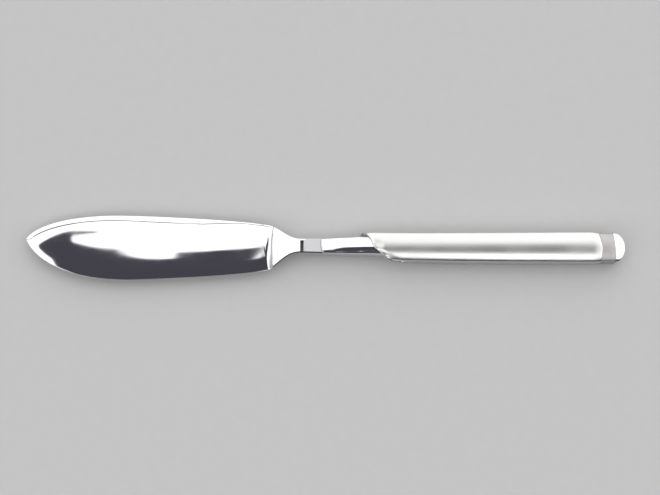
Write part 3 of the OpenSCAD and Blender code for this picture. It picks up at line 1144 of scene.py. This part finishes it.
        # both lean and bow with the joint, less and less away from it
        shear = [
            "tilt MULTIPLY lean joint", "x MULTIPLY_ADD y tilt x",
            "face MULTIPLY s s", "face MULTIPLY face bow", "x MULTIPLY_ADD face joint x",
        ]
        both = add_node(tree, "GeometryNodeJoinGeometry")
        for rows, steps in ((72, dome), (4, plug)):
            size = {"Vertices": 360, "Side Segments": rows, "Radius": 1.0, "Depth": 1.0}
            drum = add_node(tree, "GeometryNodeMeshCylinder", size, fill_type="NGON")
            here = add_node(tree, "GeometryNodeInputPosition")
            at = add_node(tree, "ShaderNodeSeparateXYZ", {0: here}).outputs
            steps = [*steps, *self.section_steps(), *shear, *self.frame_steps()]
            known = chain(tree, steps, {**given, "c": at["X"], "s": at["Y"], "h": at["Z"]})
            spot = add_node(tree, "ShaderNodeCombineXYZ", {k.upper(): known[k] for k in "xyz"})
            moved = add_node(tree, "GeometryNodeSetPosition", {"Geometry": drum, "Position": spot})
            feed(both, {0: moved})
        real = add_node(tree, "GeometryNodeRealizeInstances", {0: both})
        painted = add_node(tree, "GeometryNodeSetMaterial", {0: real, "Material": finish})
        add_node(tree, "NodeGroupOutput", {0: painted})
        return self.grown("end_cap_dome", tree, values)

    def ribs(self, finish: Material) -> Object:
        """Grows the low turned ribs that run round the band.

        Args:
            finish: Their material, which the tree sets.

        Returns:
            The piece.
        """
        g = self.grip
        sunk = g.rear_drop + self.band_recess + self.rib_radius - self.rib_height
        half_w, half_t = g.rear_width / 2 - sunk, g.thickness / 2 + g.crest_rise - sunk
        pitch = self.band_length / self.rib_count
        values = {
            "half_w": half_w, "half_t": half_t, "arch": g.crown * half_w, "corner": g.corner,
            "first": g.rear_at + pitch / 2, "pitch": pitch, "count": self.rib_count,
            "radius": self.rib_radius, "lean": g.lean, "bow": (g.rear_bow + self.cap_bow) / 2,
        }
        tree, given = self.rule_tree("turned_ribs", values)
        here = add_node(tree, "GeometryNodeInputPosition")
        at = add_node(tree, "ShaderNodeSeparateXYZ", {0: here}).outputs
        # one rib: the grip's section as a path, swept with a small round
        circle = add_node(tree, "GeometryNodeCurvePrimitiveCircle", {"Resolution": 360, "Radius": 1.0})
        known = chain(tree, self.section_steps(), {**given, "c": at["X"], "s": at["Y"]})
        spot = add_node(tree, "ShaderNodeCombineXYZ", {"X": 0.0, "Y": known["y"], "Z": known["z"]})
        path = add_node(tree, "GeometryNodeSetPosition", {0: circle, "Position": spot})
        small = add_node(tree, "GeometryNodeCurvePrimitiveCircle", {"Resolution": 8, "Radius": given["radius"]})
        rib = add_node(tree, "GeometryNodeCurveToMesh", {"Curve": path, "Profile Curve": small})
        # ribs stand in a row and shrink with the rounded butt
        row = add_node(tree, "GeometryNodeMeshLine", {"Count": given["count"]}, mode="OFFSET")
        number = add_node(tree, "GeometryNodeInputIndex")
        steps = ["x MULTIPLY_ADD i pitch first", *self.share_steps()]
        known = chain(tree, steps, {**given, "i": number})
        station = add_node(tree, "ShaderNodeCombineXYZ", {"X": known["x"]})
        shares = {"X": 1.0, "Y": known["half_w_share"], "Z": known["half_t_share"]}
        size = add_node(tree, "ShaderNodeCombineXYZ", shares)
        spread = add_node(tree, "GeometryNodeSetPosition", {0: row, "Position": station})
        stand = {"Points": spread, "Instance": rib, "Scale": size}
        placed = add_node(tree, "GeometryNodeInstanceOnPoints", stand)
        real = add_node(tree, "GeometryNodeRealizeInstances", {0: placed})
        # lean and bow with the joints, then move into the part's frame
        steps = [
            "x MULTIPLY_ADD y lean x", "rise DIVIDE z half_t",
            "rise MULTIPLY rise rise", "rise MINIMUM rise 1.0",
            "x MULTIPLY_ADD rise bow x", *self.frame_steps(),
        ]
        known = chain(tree, steps, {**given, "x": at["X"], "y": at["Y"], "z": at["Z"]})
        spot = add_node(tree, "ShaderNodeCombineXYZ", {k.upper(): known[k] for k in "xyz"})
        moved = add_node(tree, "GeometryNodeSetPosition", {0: real, "Position": spot})
        painted = add_node(tree, "GeometryNodeSetMaterial", {0: moved, "Material": finish})
        add_node(tree, "NodeGroupOutput", {0: painted})
        return self.grown("band_ribs", tree, values)


# ------------------------------------------------------------------ the studio


@dataclass(frozen=True)
class Flag:
    """A soft-edged shape in the studio sky, by angles from straight up, in degrees."""

    left: float
    right: float
    front: float
    back: float
    colour: str
    soft: Pair = (1.0, 1.0)
    level: float = 1.0
    oval: bool = False


@dataclass
class Studio:
    """Pale table, a white tent with dark flags in front, and the overhead camera."""

    # light of the tent, of its hem near the table and of the hem in front
    tent: float = 1.7
    hem: float = 1.2
    front_hem: float = 0.06
    floor_half: float = 6.0
    camera_height: float = 350.0
    camera_spot: Pair = (1.55, 0.535)
    camera_tilt: float = 11.0
    camera_roll: float = 0.38
    view_width: float = 198.3
    flags: tuple[Flag, ...] = (
        # grey cloths at both ends, then the dark front with bright panels before it
        Flag(-88.0, -52.0, -85.0, 85.0, "#C0C0C2", (10.0, 10.0)),
        Flag(70.0, 88.0, -85.0, 85.0, "#C0C0C2", (8.0, 10.0)),
        Flag(-85.0, 85.0, -85.0, -15.0, "#55535A", (4.0, 4.0)),
        Flag(-75.0, -15.0, -56.0, -20.0, "#FFFFFF", (6.0, 6.0), 2.2),
        Flag(1.2, 18.0, -42.0, -18.0, "#FFFFFF", (1.2, 6.0), 3.4),
        Flag(19.0, 75.0, -40.0, -9.0, "#FFFFFF", (4.0, 4.0), 1.7),
        # what lies in the neck and the bolster
        Flag(3.0, 20.0, -14.0, 19.0, "#141414", (1.6, 12.0)),
        Flag(0.8, 3.0, 4.5, 60.0, "#F8F6F6", (0.3, 1.0)),
        # the dark area that lies in the blade, cut back by white
        Flag(-22.3, -3.7, -2.4, 10.4, "#4E4C55", (0.5, 0.5), 1.0, True),
        Flag(-11.5, -3.0, 6.4, 19.0, "#FFFFFF", (0.3, 0.6), 1.7),
        Flag(-13.0, -6.0, 6.0, 10.4, "#FFFFFF", (0.5, 0.5), 1.7, True),
        Flag(-13.4, 3.0, -17.0, 6.4, "#4E4C55", (0.6, 0.6)),
        Flag(-19.5, -11.0, -17.0, 0.5, "#4E4C55", (0.6, 0.6)),
        Flag(-7.9, -3.4, 5.3, 19.0, "#FFFFFF", (0.6, 0.6), 1.7),
        Flag(-10.5, -5.3, 3.7, 9.5, "#FFFFFF", (0.4, 0.4), 1.7, True),
        Flag(-7.5, -3.4, -17.0, 5.3, "#4E4C55", (0.3, 0.6)),
        Flag(-3.2, -2.7, 1.5, 19.0, "#FFFFFF", (0.3, 0.8), 1.7),
        Flag(-2.9, 1.0, 4.8, 19.0, "#FFFFFF", (0.4, 0.8), 1.7),
        Flag(-0.5, 0.9, 3.0, 12.2, "#3C3A40", (0.3, 0.4)),
    )

    def table(self) -> None:
        """Lays the pale floor, which isn't part of the knife."""
        mesh = bpy.data.meshes.new("table_top")
        r = self.floor_half
        mesh.from_pydata([(-r, -r, 0), (r, -r, 0), (r, r, 0), (-r, r, 0)], [], [(0, 1, 2, 3)])
        floor = bpy.data.objects.new("table_top", mesh)
        floor.data.materials.append(PAPER.build())
        bpy.context.scene.collection.objects.link(floor)

    def cover(self, tree: NodeTree, flat: list, flag: Flag) -> Node:
        """Adds the nodes that say how far a flag covers a direction.

        Args:
            tree: The world's tree.
            flat: The direction's slopes from straight up, along X and Y.
            flag: The flag.

        Returns:
            A node that gives 1 on the flag and 0 beside it.
        """
        smooth = {"interpolation_type": "SMOOTHSTEP"}
        sides = ((flag.left, flag.right), (flag.front, flag.back))
        parts = []
        if flag.oval:
            for value, ends in zip(flat, sides, strict=True):
                low, high = (math.tan(math.radians(v)) for v in ends)
                span = {"Value": value, 1: low, 2: high, 3: -1.0, 4: 1.0}
                parts.append(add_node(tree, "ShaderNodeMapRange", span, clamp=False))
            spot = add_node(tree, "ShaderNodeCombineXYZ", {"X": parts[0], "Y": parts[1]})
            far = add_node(tree, "ShaderNodeVectorMath", {0: spot}, operation="LENGTH").outputs["Value"]
            blur = flag.soft[0] / (flag.right - flag.left)
            rim = {"Value": far, 1: 1 - blur, 2: 1 + blur, 3: 1.0, 4: 0.0}
            return add_node(tree, "ShaderNodeMapRange", rim, **smooth)
        for value, ends, soft in zip(flat, sides, flag.soft, strict=True):
            for angle, before in zip(ends, (0.0, 1.0), strict=True):
                low, high = (math.tan(math.radians(angle + k * soft / 2)) for k in (-1, 1))
                edge = {"Value": value, 1: low, 2: high, 3: before, 4: 1 - before}
                parts.append(add_node(tree, "ShaderNodeMapRange", edge, **smooth))
        made = parts[0]
        for part in parts[1:]:
            made = add_node(tree, "ShaderNodeMath", {0: made, 1: part}, operation="MULTIPLY")
        return made

    def sky(self) -> None:
        """Builds the tent and its flags by direction, as the scene's world."""
        world = bpy.data.worlds.new("white_tent")
        world.use_nodes = True
        tree = world.node_tree
        tree.nodes.clear()
        where = add_node(tree, "ShaderNodeTexCoord").outputs["Generated"]
        ray = add_node(tree, "ShaderNodeSeparateXYZ", {0: where}).outputs
        # the tent's hem near the table is dimmer, and dark on the front side
        ramps = []
        for axis, start, end, before, after in (
            ("Z", 0.02, 0.26, self.hem, self.tent), ("Z", 0.16, 0.32, 1.0, 0.0), ("Y", -0.75, -0.4, 1.0, 0.0),
        ):
            ramp = {"Value": ray[axis], 1: start, 2: end, 3: before, 4: after}
            ramps.append(add_node(tree, "ShaderNodeMapRange", ramp, interpolation_type="SMOOTHSTEP"))
        steps = [
            "up MAXIMUM z 0.02", "flat_x DIVIDE x up", "flat_y DIVIDE y up",
            "above GREATER_THAN z 0.05", "shade MULTIPLY low fore",
        ]
        known = {"x": ray["X"], "y": ray["Y"], "z": ray["Z"], "low": ramps[1], "fore": ramps[2]}
        known = chain(tree, steps, known)
        level = add_node(tree, "ShaderNodeMix", {0: known["shade"], 2: ramps[0], 3: self.front_hem})
        tint = add_node(tree, "ShaderNodeCombineXYZ", {"X": level, "Y": level, "Z": level})
        for flag in self.flags:
            cover = self.cover(tree, [known["flat_x"], known["flat_y"]], flag)
            cover = add_node(tree, "ShaderNodeMath", {0: cover, 1: known["above"]}, operation="MULTIPLY")
            layer = {0: cover, 6: tint, 7: [flag.level * v for v in linear(flag.colour)]}
            tint = add_node(tree, "ShaderNodeMix", layer, data_type="RGBA", clamp_result=False).outputs[2]
        light = add_node(tree, "ShaderNodeBackground", {"Color": tint, "Strength": 1.0})
        add_node(tree, "ShaderNodeOutputWorld", {"Surface": light})
        world.cycles.sampling_method = "MANUAL"
        world.cycles.sample_map_resolution = 2048
        bpy.context.scene.world = world

    def camera(self) -> None:
        """Hangs the scene's camera above the knife, a little to the front."""
        lens = bpy.data.cameras.new("overhead_camera")
        lens.sensor_width = 36.0
        lens.lens = lens.sensor_width * self.camera_height / self.view_width
        lens.clip_start, lens.clip_end = 0.01, 50.0
        made = bpy.data.objects.new("overhead_camera", lens)
        aim = Vector((*self.camera_spot, FRAME_SHIFT[2]))
        turn = Euler((math.radians(self.camera_tilt), 0.0, math.radians(self.camera_roll)))
        made.location = (aim + turn.to_matrix() @ Vector((0.0, 0.0, self.camera_height))) * MM
        made.rotation_euler = turn
        bpy.context.scene.collection.objects.link(made)
        bpy.context.scene.camera = made

    def build(self) -> None:
        """Lays the table, raises the tent and hangs the camera."""
        self.table()
        self.sky()
        self.camera()
        bpy.context.scene.view_settings.view_transform = "Standard"
        log.info("studio: table, tent and camera")


def main() -> None:
    """Builds the knife's pieces in order."""
    logging.basicConfig(level=logging.INFO, format="%(name)s %(message)s")
    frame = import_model()
    Studio().build()
    mirror, satin, brushed, cement = (finish.build() for finish in (MIRROR, SATIN, BRUSHED, CEMENT))
    grip, blade = Grip(), Blade()
    blade.dress(mirror)
    Collar(grip, blade).dress(mirror)
    grip.dress(satin)
    Butt(grip).dress(brushed, mirror)
    for slot in frame["nodes"]["tang_cement"].material_slots:
        slot.material = cement
    log.info("tang_cement: kept from the solids, with its own finish")


if __name__ == "__main__":
    main()
